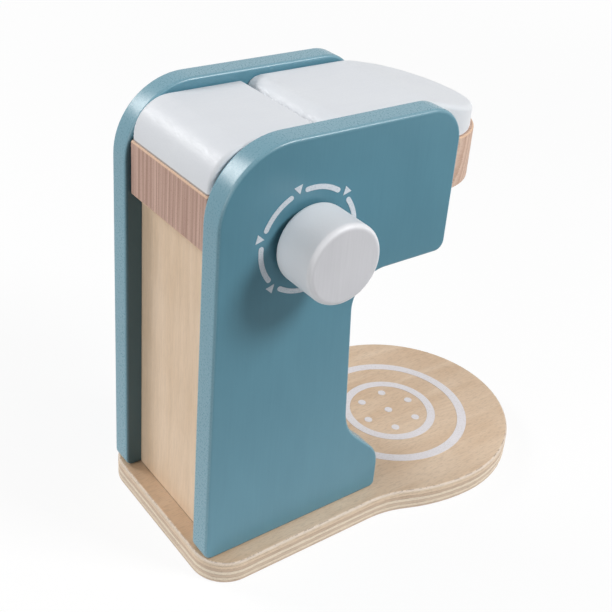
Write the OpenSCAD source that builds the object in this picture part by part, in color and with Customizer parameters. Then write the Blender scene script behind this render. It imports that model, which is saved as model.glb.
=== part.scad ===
// Toy coffee maker: two painted side panels on a plywood base carry a beech arm, a fixed block,
// a hinged lid and a turning knob. The origin is the middle of the base's underside, +Z is up,
// the lid's nose points along -Y and the knob along -X.

/* [Base board] */
// Thickness of the plywood base
base_t = 12; // [9:0.5:15]
// Length of the base from its rear edge to the front of its round tray
base_l = 208.8; // [204:0.2:220]
// Width of the straight rear part
base_w = 102.4; // [100:0.2:114]
// Radius of the two rear corners
base_corner_r = 17; // [8:0.5:18]
// Radius of the round tray
tray_r = 62.4; // [58:0.2:66]
// Radius of the tray's side as it runs back to the straight side
bulge_r = 94.5; // [80:0.5:120]
// Radius of the hollow between the tray's side and the straight side
neck_r = 53; // [45:1:70]
// Rounding of the board's edges
base_ease = 1.3; // [0.5:0.1:2]

/* [Side panels] */
// Thickness of a side panel
panel_t = 12; // [11:0.5:15]
// Clear distance between the two side panels
panel_gap = 62; // [58:1:66]
// Height of the side panels above the base
panel_h = 197; // [194:1:205]
// Distance from the base's rear edge to the panels' back edge
panel_setback = 1; // [1:0.5:5]
// Depth of the panel from its back edge to the front of its arm
arm_d = 120.2; // [116:0.2:124]
// Height of the arm part of the panel
arm_h = 70; // [66:1:74]
// Depth of the upright column below the arm
column_d = 70.2; // [68:0.2:74]
// Lean of the column's front, measured from upright
column_lean = 3.7; // [0:0.1:5]
// Depth of the foot
foot_d = 97; // [94:0.2:100]
// Height above the base at which the column starts to flare into the foot
flare_h = 53.4; // [50:0.2:60]
// Slope of the flare, measured from upright
flare_angle = 44.8; // [40:0.2:50]
// Radius of the hollow above the flare
flare_r = 26; // [18:1:30]
// Radius of the toe below the flare
toe_r = 16; // [8:1:18]
// Radius of the foot's lower front corner
toe_tip_r = 3; // [2:0.5:5]
// Radius of the foot's lower rear corner
heel_r = 4; // [2:0.5:6]
// Radius of the upper rear corner
crown_r = 33; // [24:1:38]
// Radius of the upper front corner
brow_r = 17; // [12:0.5:22]
// Radius of the arm's lower front corner
chin_r = 5; // [3:0.5:10]
// Radius of the hollow between the arm and the column
throat_r = 16; // [10:1:22]
// Rounding of the panels' edges
panel_ease = 1.5; // [0.8:0.1:2.5]

/* [Column panels] */
// Thickness of the thin panels that close the column
ply_t = 6; // [5:0.5:8]
// How far the rear one lies behind the side panels' back edges
back_recess = 8; // [4:0.5:12]
// How far the front one lies behind the column's front edges
front_recess = 6; // [4:0.5:10]
// Depth of the grooves that hold them
groove_d = 3; // [2:0.5:4]
// Play between a thin panel and its groove
groove_play = 0.1; // [0.05:0.05:0.2]

/* [Arm rail] */
// Height of the rail's underside above the base
rail_low = 149.3; // [146:0.1:154]
// Height of the rail
rail_h = 25; // [20:0.5:27]
// Length of the rail from its rear end to its round nose
rail_l = 156.8; // [152:0.1:162]
// Distance from the panels' back edge to the rail's rear end
rail_setback = 2.2; // [1:0.1:4]
// Radius of the rail's two rear corners
rail_corner_r = 1.5; // [1.3:0.1:3]
// Rounding of the rail's edges
rail_ease = 1; // [0.4:0.1:1.2]
// Radius of the well under the lid
well_r = 17; // [12:0.5:19]
// Depth of the well
well_d = 14; // [10:0.5:14]
// Distance from the rail's nose to the middle of the well
well_back = 34; // [30:1:40]

/* [Rear block] */
// Length of the fixed block
block_l = 51.8; // [46:0.2:54]
// Height of the fixed block
block_h = 18.4; // [17:0.2:22]
// Distance from the panels' back edge to the block's rear face
block_setback = 3; // [3:0.5:7]
// Radius of its upper rear edge
block_r = 16.5; // [12:0.5:16.5]
// Rounding of its side edges
block_ease = 2; // [1:0.1:3]
// Gap between a white block and the side panel beside it
side_gap = 0.4; // [0.3:0.05:0.8]

/* [Lid] */
// Thickness of the lid, which is also the diameter of its round rear end
lid_t = 19.7; // [18:0.1:22]
// Gap between the lid and the rail
lid_gap = 0.3; // [0.3:0.05:0.6]
// Gap between the lid's round end and the fixed block
hinge_gap = 3.2; // [2.5:0.05:4]
// How far the lid's nose stays behind the rail's
lid_inset = 3.8; // [1:0.1:5]
// Length of the lid's rounded nose
nose_l = 27; // [24:0.5:31]
// Distance from the lid's nose to the fold in its top
fold_back = 41.7; // [38:0.1:46]
// Slope of the nose in front of the fold
fold_angle = 14.5; // [10:0.5:16]
// Radius of the soft fold
fold_r = 40; // [20:1:50]
// Rounding of the lid's upper edges
lid_ease = 2.5; // [1.5:0.1:3]
// Rounding of the lid's lower edges
lid_low_ease = 0.8; // [0.4:0.1:1.2]
// Radius of a hinge pin
pin_r = 3; // [2.5:0.1:3.5]
// Length of a hinge pin inside the lid
pin_in_lid = 15; // [12:0.5:20]

/* [Knob] */
// Radius of the knob
knob_r = 17.6; // [15:0.1:19]
// Length of the knob
knob_l = 23.6; // [20:0.2:26]
// Gap between the knob and the side panel
knob_gap = 1; // [0.8:0.1:2]
// Height of the knob's axis above the base
knob_h = 152.1; // [148:0.1:156]
// Distance from the panels' back edge to the knob's axis
knob_back = 42.6; // [38:0.1:46]
// Rounding of the knob's outer rim
knob_face_ease = 2.5; // [1:0.1:4]
// Rounding of the rim beside the panel
knob_base_ease = 3; // [1:0.1:4]
// Radius of the knob's shaft
shaft_r = 4; // [3.5:0.1:5]
// Length of the shaft inside the knob
shaft_in_knob = 14; // [10:0.5:17]
// Radius of the collar that keeps the shaft in the panel
collar_r = 8; // [7:0.1:9]
// Thickness of the collar
collar_t = 4; // [3:0.1:5]
// Radius of the felt washer behind the knob
washer_r = 11; // [8:0.5:13]
// Thickness of the washer
washer_t = 0.7; // [0.4:0.1:0.7]

/* [Spout] */
// Distance from the rail's nose to the middle of the spout
spout_back = 16.7; // [14:0.1:22]
// Radius of the spout below the rail
spout_r = 6; // [5:0.1:7]
// Length of the spout below the rail
spout_l = 12; // [8:0.5:16]
// Radius of the spout's hole
spout_hole_r = 2.5; // [1.5:0.1:3]
// Radius of the spout's tenon
tenon_r = 4; // [3.2:0.1:4.5]
// Length of the spout's tenon
tenon_l = 6; // [4:0.1:6]
// Rounding of the spout's lower rim
spout_ease = 1.5; // [0.8:0.1:2]

/* [Dowels and screws] */
// Radius of a dowel
dowel_r = 4; // [3:0.1:4]
// Length of a dowel inside a side panel
dowel_in_panel = 8; // [6:0.5:8]
// Length of a dowel inside the rail or the fixed block
dowel_in_rail = 10; // [8:0.5:12]
// Play at the end of a blind hole
hole_play = 0.4; // [0.2:0.1:1]
// Play around a glued dowel, tenon or screw
glue_play = 0.05; // [0.03:0.01:0.08]
// Play around a pin or shaft that turns
turn_play = 0.06; // [0.03:0.01:0.09]
// Clearance beside the faces of a turning piece
turn_gap = 0.3; // [0.3:0.05:0.5]
// Clearance around the collar
collar_gap = 0.4; // [0.3:0.05:0.6]
// Radius of a screw's shank
screw_r = 2; // [1.5:0.1:2.2]
// Radius of a screw's head
screw_head_r = 4; // [3.4:0.1:4.6]
// Length of a screw above its head
screw_l = 28; // [22:1:32]
// How far the screw heads lie above the base's underside
screw_sink = 0.5; // [0.3:0.1:1]
// Distance from a screw to the end of the panel's foot
screw_end = 20; // [14:1:26]

/* [Printed marks] */
// Thickness of the printed marks
print_t = 0.2; // [0.1:0.05:0.3]
// Width of the printed lines on the dial
dial_line = 2.2; // [1.6:0.1:3]
// Radius of the dial's line of arcs
dial_r = 22.95; // [20:0.05:25]
// Number of arcs and pointers round the dial
dial_count = 6; // [3:1:8]
// Angle that one arc covers
dial_arc = 40; // [20:1:42]
// Angle from a pointer to the middle of the next arc
dial_arc_at = 30.5; // [28:0.5:32]
// Angle of the first pointer, measured from the front
pointer_at = 46; // [0:1:60]
// Height of a pointer
pointer_h = 3.6; // [2.5:0.1:5]
// Width of a pointer's base
pointer_w = 4; // [2.5:0.1:5]
// Distance from the tray's front edge to the middle of the rings
rings_back = 65.4; // [62:0.1:68]
// Inner radius of the outer ring
outer_ring_r = 37.5; // [34:0.1:40]
// Width of the outer ring
outer_ring_w = 4.8; // [3:0.1:6]
// Inner radius of the inner ring
inner_ring_r = 21.1; // [19:0.1:24]
// Width of the inner ring
inner_ring_w = 4.3; // [3:0.1:6]
// Radius of a dot
dot_r = 2.1; // [1.5:0.1:3]
// Radius of the circle of dots
dots_r = 15.1; // [10:0.1:16]
// Number of dots round the middle one
dot_count = 6; // [3:1:8]
// Angle of the first dot
dot_at = 334.5; // [0:0.5:360]

/* [Hidden] */

$fn = 72;
round_step = 7.5;
ease_step = 22.5;
small_step = 15;
cut = 1;

teal = "#5f8fa2";
white = "#e3e6ea";
beech = "#cfab93";
birch = "#d8bd9b";
felt = "#4b4b4b";
steel = "#b9bcc0";

// Heights
rail_z = base_t + rail_low;
rail_top = rail_z + rail_h;
rail_mid = rail_z + rail_h / 2;
panel_top = base_t + panel_h;
pivot_z = rail_top + lid_gap + lid_t / 2;
knob_z = base_t + knob_h;

// Places along Y
base_rear = base_l / 2;
tray_y = tray_r - base_l / 2;
panel_back = base_rear - panel_setback;
panel_front = panel_back - arm_d;
column_front = panel_back - column_d;
foot_front = panel_back - foot_d;
rail_rear = panel_back - rail_setback;
rail_nose = rail_rear - rail_l;
rail_nose_y = rail_nose + panel_gap / 2;
well_y = rail_nose + well_back;
block_rear = panel_back - block_setback;
block_front = block_rear - block_l;
pivot_y = block_front - hinge_gap - lid_t / 2;
lid_nose = rail_nose + lid_inset;
lid_nose_y = lid_nose + nose_l;
fold_y = lid_nose + fold_back;
knob_y = panel_back - knob_back;
rings_y = rings_back - base_l / 2;
spout_y = rail_nose + spout_back;
back_ply_y = panel_back - back_recess - ply_t;
front_ply_y = column_front + front_recess;

// Places along X
inner_x = panel_gap / 2;
outer_x = inner_x + panel_t;
mid_panel_x = inner_x + panel_t / 2;
block_w = panel_gap - 2 * side_gap;
collar_in_x = inner_x + turn_gap;
collar_seat = collar_t + 2 * turn_gap;
shaft_l = outer_x + knob_gap + shaft_in_knob - collar_in_x;
dowel_l = dowel_in_panel + dowel_in_rail;
arm_dowel_ys = [rail_rear - 3 * dowel_r - 4, pivot_y, panel_front + 3 * dowel_r];
block_dowel_y = (block_rear + block_front) / 2;
block_dowel_x = panel_gap / 4;
screw_ys = [panel_back - screw_end, foot_front + screw_end];
pin_l = dowel_in_panel + side_gap + pin_in_lid;

// An arc of an outline: [x, y, outward normal x, outward normal y] for each point.
// It turns left when a1 > a0, and is a hollow when a1 < a0.
function arc_run(c, r, a0, a1, step) =
    let (n = max(2, ceil(abs(a1 - a0) / step)), side = sign(a1 - a0))
    [for (i = [0:n]) let (a = a0 + (a1 - a0) * i / n)
        [c.x + r * cos(a), c.y + r * sin(a), side * cos(a), side * sin(a)]];

// A run of outline points less its first, which the run before it ends on
function after(run) = [for (i = [1:len(run) - 1]) run[i]];

// A square corner of an outline, with the normals of both its sides
function corner(x, y, nx, ny) = [[x, y, nx, ny]];

// The mirror image of a run of outline points across x = 0, in reverse order
function mirrored(run) =
    [for (i = [len(run) - 1:-1:0]) [-run[i].x, run[i].y, -run[i][2], run[i][3]]];

// The levels of an eased edge: [height above the face, inset]
function ease_levels(r) = [for (a = [0:ease_step:90]) [r * (1 - cos(a)), r * (1 - sin(a))]];

// Faces between the rings of a loft with n points in each of count rings
function wall_faces(n, count) = [for (k = [0:count - 2]) for (i = [0:n - 1])
    let (a = k * n + i, b = k * n + (i + 1) % n, c = b + n, d = a + n)
    each [[a, d, c], [a, c, b]]];

// A board with the given outline and thickness, whose edges are rounded on both faces.
// Each face is a fan of triangles about a hub that sees the whole outline. Where no such hub exists,
// a second one serves the outline from its point number split on.
module eased_board(outline, t, ease, hubs, split = 0) {
    n = len(outline);
    low = ease_levels(ease);
    high = [for (i = [len(low) - 1:-1:0]) [t - low[i][0], low[i][1]]];
    levels = concat(low, high);
    count = len(levels);
    top = (count - 1) * n;
    skin = [for (level = levels) for (p = outline)
        [p.x - level[1] * p[2], p.y - level[1] * p[3], level[0]]];
    two = len(hubs) > 1;
    hub = count * n;
    points = concat(skin, [for (h = hubs) each [[h.x, h.y, 0], [h.x, h.y, t]]]);
    low_fan = [for (i = [0:n - 1]) [hub + (two && i >= split ? 2 : 0), i, (i + 1) % n]];
    high_fan = [for (f = low_fan) [f[0] + 1, top + f[2], top + f[1]]];
    low_bridge = two ? [[hub, split, hub + 2], [hub, hub + 2, 0]] : [];
    high_bridge = two ? [[hub + 1, hub + 3, top + split], [hub + 1, top, hub + 3]] : [];
    faces = concat(low_fan, high_fan, low_bridge, high_bridge, wall_faces(n, count));
    polyhedron(points, faces, convexity = 6);
}

// Turns a board drawn with its face towards +Z so that its outline lies in the Y-Z plane
module upright() {
    rotate([90, 0, 90]) children();
}

// A cylinder along +X
module rod_x(r, l) {
    rotate([0, 90, 0]) cylinder(r = r, h = l);
}

// Base outline: the round tray, its sides running back through a hollow, and the rear corners
neck_turn = acos(1 - (tray_r - base_w / 2) / (bulge_r + neck_r));
neck_y = tray_y + (bulge_r + neck_r) * sin(neck_turn);
base_side = concat(
    arc_run([tray_r - bulge_r, tray_y], bulge_r, 0, neck_turn, round_step / 2),
    after(arc_run([base_w / 2 + neck_r, neck_y], neck_r, 180 + neck_turn, 180, round_step / 2)),
    arc_run([base_w / 2 - base_corner_r, base_rear - base_corner_r], base_corner_r, 0, 90, round_step));
base_outline = concat(
    base_side,
    mirrored(base_side),
    [for (p = arc_run([0, tray_y], tray_r, 180, 360, round_step / 1.5)) if (abs(p.y - tray_y) > cut) p]);

// Side panel outline in the Y-Z plane, from its lower rear corner round by its top.
// The column's front leans from the throat down to the hollow of the flare.
arm_z = panel_top - arm_h;
throat_z = arm_z - throat_r;
flare_z = base_t + flare_h;
lean_fall = (throat_z - throat_r * sin(column_lean) - flare_z) * tan(column_lean);
flare_y = column_front - throat_r * (1 - cos(column_lean)) - lean_fall - flare_r * cos(column_lean);
flare_mid_z = flare_z + flare_r * sin(column_lean);
slope_fall = flare_y + flare_r * cos(flare_angle) - foot_front - toe_r * (1 - cos(flare_angle));
toe_z = flare_mid_z - (flare_r + toe_r) * sin(flare_angle) - slope_fall / tan(flare_angle);
panel_upper = concat(
    arc_run([panel_back - heel_r, base_t + heel_r], heel_r, -90, 0, small_step),
    arc_run([panel_back - crown_r, panel_top - crown_r], crown_r, 0, 90, round_step / 1.5),
    arc_run([panel_front + brow_r, panel_top - brow_r], brow_r, 90, 180, round_step),
    arc_run([panel_front + chin_r, arm_z + chin_r], chin_r, 180, 270, small_step),
    arc_run([column_front - throat_r, throat_z], throat_r, 90, -column_lean, round_step));
panel_lower = concat(
    arc_run([flare_y, flare_mid_z], flare_r, -column_lean, -flare_angle, round_step),
    arc_run([foot_front + toe_r, toe_z], toe_r, 180 - flare_angle, 180, round_step),
    arc_run([foot_front + toe_tip_r, base_t + toe_tip_r], toe_tip_r, 180, 270, small_step));
panel_outline = concat(panel_upper, panel_lower);
panel_hubs = [[panel_back - crown_r, arm_z + throat_r / 2], [(foot_front + panel_back) / 2, toe_z]];

// Rail outline: square with rounded corners at the rear, half round at the nose
rail_corner = arc_run([inner_x - rail_corner_r, rail_rear - rail_corner_r], rail_corner_r, 0, 90,
    ease_step);
rail_outline = concat(
    rail_corner,
    mirrored(rail_corner),
    arc_run([0, rail_nose_y], inner_x, 180, 360, round_step / 1.5));

// Outline of the fixed block in the Y-Z plane
block_outline = concat(
    corner(block_front, rail_top, -1, -1),
    corner(block_rear, rail_top, 1, -1),
    arc_run([block_rear - block_r, rail_top + block_h - block_r], block_r, 0, 90, round_step),
    corner(block_front, rail_top + block_h, -1, 1));

module base_board() {
    color(birch) difference() {
        eased_board(base_outline, base_t, base_ease, [[0, neck_y]]);
        for (side = [-1, 1], y = screw_ys) translate([side * mid_panel_x, y, 0]) {
            translate([0, 0, -cut]) cylinder(r = screw_r + glue_play, h = base_t + 2 * cut);
            translate([0, 0, -cut]) cylinder(r = screw_head_r + glue_play, h = screw_sink + cut);
            translate([0, 0, screw_sink])
                cylinder(r1 = screw_head_r + glue_play, r2 = screw_r + glue_play,
                    h = screw_head_r - screw_r);
        }
    }
}

// What both side panels share, drawn on the far side: the board less its dowel and pin holes,
// its grooves and its screw holes
module side_panel() {
    difference() {
        translate([inner_x, 0, 0]) upright()
            eased_board(panel_outline, panel_t, panel_ease, panel_hubs, len(panel_upper));
        for (y = arm_dowel_ys) translate([inner_x - cut, y, rail_mid])
            rod_x(dowel_r + glue_play, dowel_in_panel + hole_play + cut);
        translate([inner_x - cut, pivot_y, pivot_z])
            rod_x(pin_r + glue_play, dowel_in_panel + hole_play + cut);
        for (y = screw_ys) translate([mid_panel_x, y, base_t - cut])
            cylinder(r = screw_r + glue_play, h = screw_l + screw_sink + hole_play - base_t + cut);
        for (y = [back_ply_y, front_ply_y])
            translate([inner_x - cut, y - groove_play, base_t - cut])
                cube([groove_d + cut, ply_t + 2 * groove_play, rail_low + cut]);
    }
}

module far_side_panel() {
    color(teal) side_panel();
}

module knob_side_panel() {
    color(teal) difference() {
        mirror([1, 0, 0]) side_panel();
        translate([-outer_x - cut, knob_y, knob_z]) rod_x(shaft_r + turn_play, panel_t + 2 * cut);
        translate([-inner_x - collar_seat, knob_y, knob_z]) rod_x(collar_r + collar_gap, collar_seat + cut);
    }
}

// A thin panel that stands on the base between the two grooves and ends under the rail
module column_ply(y) {
    w = panel_gap + 2 * (groove_d - groove_play);
    color(birch) translate([-w / 2, y, base_t]) cube([w, ply_t, rail_low]);
}

module back_panel() {
    column_ply(back_ply_y);
}

module front_panel() {
    column_ply(front_ply_y);
}

module arm_rail() {
    color(beech) difference() {
        translate([0, 0, rail_z]) eased_board(rail_outline, rail_h, rail_ease, [[0, rail_nose_y]]);
        translate([0, well_y, rail_top - well_d]) cylinder(r = well_r, h = well_d + cut);
        for (side = [-1, 1], y = arm_dowel_ys)
            translate([side * (inner_x + cut), y, rail_mid]) rotate([0, -side * 90, 0])
                cylinder(r = dowel_r + glue_play, h = dowel_in_rail + hole_play + cut);
        for (side = [-1, 1]) translate([side * block_dowel_x, block_dowel_y, rail_top + cut])
            mirror([0, 0, 1]) cylinder(r = dowel_r + glue_play, h = dowel_in_rail + hole_play + cut);
        translate([0, spout_y, rail_z - cut])
            cylinder(r = tenon_r + glue_play, h = tenon_l + hole_play + cut);
    }
}

module rear_block() {
    color(white) difference() {
        translate([-block_w / 2, 0, 0]) upright()
            eased_board(block_outline, block_w, block_ease, [[block_dowel_y, rail_top + block_h / 2]]);
        for (side = [-1, 1]) translate([side * block_dowel_x, block_dowel_y, rail_top - cut])
            cylinder(r = dowel_r + glue_play, h = dowel_in_rail + hole_play + cut);
    }
}

// The lid. Its rear end is a half round about the hinge line. Its top is level as far as a soft fold
// and then slopes down to a nose that is half an ellipse from above.
lid_half = lid_t / 2;
fold_half = fold_r * tan(fold_angle / 2);
fold_steps = 4;

// Fall of the lid's top below its level part, at a given place along Y
function lid_fall(y) = let (ahead = fold_y + fold_half - y)
    ahead <= 0 ? 0
    : ahead >= fold_r * sin(fold_angle) ? (fold_y - y) * tan(fold_angle)
    : fold_r - sqrt(fold_r * fold_r - ahead * ahead);

// Inset of a rounded edge of radius r at a distance off from the face
function edge_inset(off, r) = off >= r ? 0 : r - sqrt(r * r - (r - off) * (r - off));

// Distance from the nearer face, drawn together in the middle where the lid is thinner
function level_off(off, ease, thick) =
    off <= ease ? off : ease + (off - ease) * (thick / 2 - ease) / (lid_half - ease);

// One point of the lid's skin: p is its outline point and turn its angle round the hinge line,
// from -90 at the bottom to 90 at the top. The rear corners are also drawn in along Y.
function lid_point(p, turn) =
    let (off = lid_half * (1 - abs(sin(turn))), ease = turn > 0 ? lid_ease : lid_low_ease,
        inset = edge_inset(off, ease), rear = p.y > pivot_y,
        x = p.x - inset * p[2],
        y = rear ? pivot_y + lid_half * cos(turn) : p.y - inset * p[3],
        thick = lid_t - lid_fall(y), d = level_off(off, ease, thick))
    [x, y, turn > 0 ? pivot_z + lid_half - lid_fall(y) - d : pivot_z - lid_half + d];

module lid() {
    half_w = block_w / 2;
    side_ys = concat([for (i = [0:fold_steps])
        fold_y + fold_half - i * fold_r * sin(fold_angle) / fold_steps], [lid_nose_y]);
    side = [for (y = side_ys) [-half_w, y, -1, 0]];
    nose = [for (a = [180 + round_step:round_step:270])
        let (slope = norm([cos(a) / half_w, sin(a) / nose_l]))
        [half_w * cos(a), lid_nose_y + nose_l * sin(a),
            cos(a) / half_w / slope, sin(a) / nose_l / slope]];
    left = concat([[-half_w, pivot_y + lid_half, -1, 0]], side, nose);
    right = mirrored([for (i = [0:len(left) - 2]) left[i]]);
    outline = concat(left, right);
    tip = len(left) - 1;
    n = len(outline);
    turns = [-90:small_step:90];
    count = len([for (turn = turns) turn]);
    top = (count - 1) * n;
    rungs = [for (i = [0:tip - 1]) [i, i + 1, 2 * tip - i - 1, 2 * tip - i]];
    low_caps = [for (q = rungs) q[1] == q[2] ? [q[0], q[1], q[3]] : q];
    high_caps = [for (q = low_caps) [for (i = [len(q) - 1:-1:0]) top + q[i]]];
    points = [for (turn = turns) for (p = outline) lid_point(p, turn)];
    color(white) difference() {
        polyhedron(points, concat(low_caps, high_caps, wall_faces(n, count)), convexity = 4);
        for (side = [-1, 1]) translate([side * (inner_x + cut), pivot_y, pivot_z])
            rotate([0, -side * 90, 0])
                cylinder(r = pin_r + turn_play, h = cut + side_gap + pin_in_lid + hole_play);
    }
}

// A hinge pin, glued into the side panel on the given side
module lid_pin(side) {
    color(steel) translate([side * (inner_x + dowel_in_panel), pivot_y, pivot_z])
        rotate([0, -side * 90, 0]) cylinder(r = pin_r, h = pin_l);
}

module lid_pin_knob_side() {
    lid_pin(-1);
}

module lid_pin_far_side() {
    lid_pin(1);
}

// Half outline of the turned knob: its axis is the Y axis of the drawing and its base lies on y = 0
module knob_profile() {
    square([knob_r - knob_base_ease, knob_l / 2]);
    translate([0, knob_base_ease]) square([knob_r, knob_l - knob_base_ease - knob_face_ease]);
    translate([0, knob_l / 2]) square([knob_r - knob_face_ease, knob_l / 2]);
    translate([knob_r - knob_base_ease, knob_base_ease]) circle(r = knob_base_ease);
    translate([knob_r - knob_face_ease, knob_l - knob_face_ease]) circle(r = knob_face_ease);
}

module knob() {
    color(white) translate([-outer_x - knob_gap, knob_y, knob_z]) rotate([0, -90, 0]) difference() {
        rotate_extrude() knob_profile();
        translate([0, 0, -cut]) cylinder(r = shaft_r + glue_play, h = shaft_in_knob + hole_play + cut);
    }
}

module knob_shaft() {
    color(beech) translate([-collar_in_x - shaft_l, knob_y, knob_z]) rod_x(shaft_r, shaft_l);
}

module shaft_collar() {
    color(beech) translate([-collar_in_x - collar_t, knob_y, knob_z]) difference() {
        rod_x(collar_r, collar_t);
        translate([-cut, 0, 0]) rod_x(shaft_r + glue_play, collar_t + 2 * cut);
    }
}

module knob_washer() {
    color(felt) translate([-outer_x - washer_t, knob_y, knob_z]) difference() {
        rod_x(washer_r, washer_t);
        translate([-cut, 0, 0]) rod_x(shaft_r + turn_gap, washer_t + 2 * cut);
    }
}

// The spout: a turned nozzle below the rail with a tenon in it
module spout_nozzle() {
    color(white) translate([0, spout_y, rail_z]) difference() {
        union() {
            cylinder(r = tenon_r, h = tenon_l);
            translate([0, 0, -spout_l]) rotate_extrude() {
                translate([0, spout_ease]) square([spout_r, spout_l - spout_ease]);
                square([spout_r - spout_ease, spout_l]);
                translate([spout_r - spout_ease, spout_ease]) circle(r = spout_ease);
            }
        }
        translate([0, 0, -spout_l - cut]) cylinder(r = spout_hole_r, h = spout_l + cut);
    }
}

// Four countersunk screws, driven up through the base into the side panels
module base_screws() {
    color(steel) for (side = [-1, 1], y = screw_ys) translate([side * mid_panel_x, y, screw_sink]) {
        cylinder(r1 = screw_head_r, r2 = screw_r, h = screw_head_r - screw_r);
        cylinder(r = screw_r, h = screw_l - 2 * screw_r);
        translate([0, 0, screw_l - 2 * screw_r]) cylinder(r1 = screw_r, r2 = screw_r / 4, h = 2 * screw_r);
    }
}

// The dowels that join the rail to the side panel on the given side
module arm_dowels(side) {
    color(beech) for (y = arm_dowel_ys)
        translate([side * (inner_x + dowel_in_panel), y, rail_mid]) rotate([0, -side * 90, 0])
            cylinder(r = dowel_r, h = dowel_l);
}

module arm_dowels_knob_side() {
    arm_dowels(-1);
}

module arm_dowels_far_side() {
    arm_dowels(1);
}

module rear_block_dowels() {
    color(beech) for (side = [-1, 1])
        translate([side * block_dowel_x, block_dowel_y, rail_top - dowel_in_rail])
            cylinder(r = dowel_r, h = 2 * dowel_in_rail);
}

// A flat printed ring
module ring(r, w) {
    difference() {
        cylinder(r = r + w, h = print_t);
        translate([0, 0, -cut]) cylinder(r = r, h = print_t + 2 * cut);
    }
}

module tray_rings() {
    color(white) translate([0, rings_y, base_t]) {
        ring(outer_ring_r, outer_ring_w);
        ring(inner_ring_r, inner_ring_w);
    }
}

module tray_dots() {
    color(white) translate([0, rings_y, base_t]) {
        cylinder(r = dot_r, h = print_t);
        for (i = [0:dot_count - 1]) rotate([0, 0, dot_at + i * 360 / dot_count])
            translate([dots_r, 0, 0]) cylinder(r = dot_r, h = print_t);
    }
}

// Places marks on the knob side's outer face: the drawing's X points to the front and its Y upward
module on_dial() {
    translate([-outer_x, knob_y, knob_z]) rotate([90, 0, -90]) children();
}

// One printed arc about the X axis of the drawing, with round ends
module dial_mark(r, w, angle) {
    reach = 2 * (r + w);
    edge = reach * [cos(angle / 2), sin(angle / 2)];
    linear_extrude(print_t) {
        intersection() {
            difference() {
                circle(r = r + w / 2);
                circle(r = r - w / 2);
            }
            polygon([[0, 0], [edge.x, -edge.y], [edge.x, edge.y]]);
        }
        for (side = [-1, 1]) rotate(side * angle / 2) translate([r, 0]) circle(r = w / 2);
    }
}

module dial_arcs() {
    color(white) on_dial() for (i = [0:dial_count - 1])
        rotate([0, 0, pointer_at + dial_arc_at + i * 360 / dial_count])
            dial_mark(dial_r, dial_line, dial_arc);
}

// Pointers between the arcs, each aimed at the knob
module dial_pointers() {
    tip = dial_r - dial_line / 4;
    color(white) on_dial() for (i = [0:dial_count - 1])
        rotate([0, 0, pointer_at + i * 360 / dial_count]) linear_extrude(print_t)
            polygon([[tip, 0], [tip + pointer_h, -pointer_w / 2], [tip + pointer_h, pointer_w / 2]]);
}

base_board();
knob_side_panel();
far_side_panel();
back_panel();
front_panel();
arm_rail();
rear_block();
lid();
lid_pin_knob_side();
lid_pin_far_side();
knob();
knob_shaft();
shaft_collar();
knob_washer();
spout_nozzle();
base_screws();
arm_dowels_knob_side();
arm_dowels_far_side();
rear_block_dowels();
tray_rings();
tray_dots();
dial_arcs();
dial_pointers();
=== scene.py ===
"""Looks of a wooden toy coffee maker: painted boards, birch plywood, beech and printed marks.

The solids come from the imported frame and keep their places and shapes. This script gives each one
the finish of its real material, evens out its shading, and sets up the camera, lights and floor.
"""
import logging
import math
from abc import ABC, abstractmethod
from dataclasses import dataclass, replace
from enum import Enum
from typing import Any, ClassVar, Sequence

import bpy
from mathutils import Matrix, Vector


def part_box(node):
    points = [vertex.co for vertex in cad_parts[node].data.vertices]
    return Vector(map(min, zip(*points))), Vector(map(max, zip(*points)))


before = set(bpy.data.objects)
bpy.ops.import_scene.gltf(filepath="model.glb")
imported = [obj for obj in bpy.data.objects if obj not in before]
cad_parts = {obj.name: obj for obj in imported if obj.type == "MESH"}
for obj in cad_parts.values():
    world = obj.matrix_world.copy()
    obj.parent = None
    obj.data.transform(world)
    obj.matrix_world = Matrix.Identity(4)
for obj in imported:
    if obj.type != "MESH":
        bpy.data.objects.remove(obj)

LOG = logging.getLogger("coffee_maker")
MM = 0.001
WHITE = "#ffffff"

# Index of refraction of paint, lacquer, ink and wood, all close to this
COAT_IOR = 1.5

# The sRGB curve: its straight foot, and the offset and power of the rest
SRGB_FOOT_END = 0.04045
SRGB_FOOT_SLOPE = 12.92
SRGB_OFFSET = 0.055
SRGB_POWER = 2.4

# Shading: points closer than the first are one, and corners sharper than the second stay crisp
JOIN_MM = 0.01
CORNER_DEG = 35.0
ROUNDED = "rounded_shading"

# Where a colour ramp gets a new stop, before it goes to its own position
RAMP_MIDDLE = 0.5

# Sockets of a Mix node by number, because its colour and float sockets share their names
MIX_FACTOR = 0
MIX_FLOAT_A = 2
MIX_FLOAT_B = 3
MIX_COLOUR_A = 6
MIX_COLOUR_B = 7
MIX_FLOAT_OUT = 0
MIX_COLOUR_OUT = 2

Colour = tuple[float, float, float, float]
Inputs = dict[Any, Any]
Point = tuple[float, float, float]
Socket = bpy.types.NodeSocket
Span = tuple[float, float]
Stops = Sequence[tuple[float, str]]
Tree = bpy.types.NodeTree


class Axis(Enum):
    """A direction of the part's frame."""

    X = 0
    Y = 1
    Z = 2


class Ray(Enum):
    """A kind of ray that a material or the surroundings can answer to."""

    CAMERA = "Is Camera Ray"
    GLOSSY = "Is Glossy Ray"
    TRANSMISSION = "Is Transmission Ray"


@dataclass(frozen=True)
class Band:
    """The values that a soft mask lets through, and the width of its fade outside them.

    A limit that is None is open.
    """

    soft: float
    low: float | None = None
    high: float | None = None


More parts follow.
